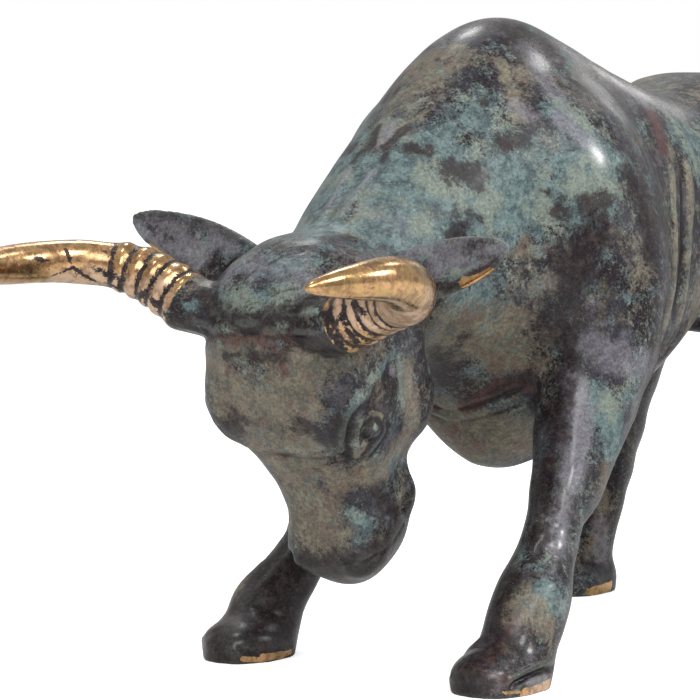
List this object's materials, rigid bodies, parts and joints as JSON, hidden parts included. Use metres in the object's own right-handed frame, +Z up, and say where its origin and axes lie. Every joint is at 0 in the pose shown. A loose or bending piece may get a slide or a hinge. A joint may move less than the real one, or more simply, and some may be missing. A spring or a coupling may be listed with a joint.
{
  "type": "bull figurine",
  "caption": "Cast bronze bull statuette with a lowered head, humped shoulders, forward horns and braced forelegs, in a mottled green-brown patina; stands on its own hooves.",
  "frame": {"origin": "on the ground the hooves stand on, under the middle of the figure's bounding box", "axes": "+X towards the bull's left, -Y the way the bull faces, +Z up"},
  "size_m": [0.0942, 0.2334, 0.1287],
  "materials": {
    "bronze": "cast bronze with a mottled dark brown and green patina, rubbed bright on the horns and hooves"
  },
  "bodies": {
    "root": {"bull": "bronze"}
  },
  "joints": []
}
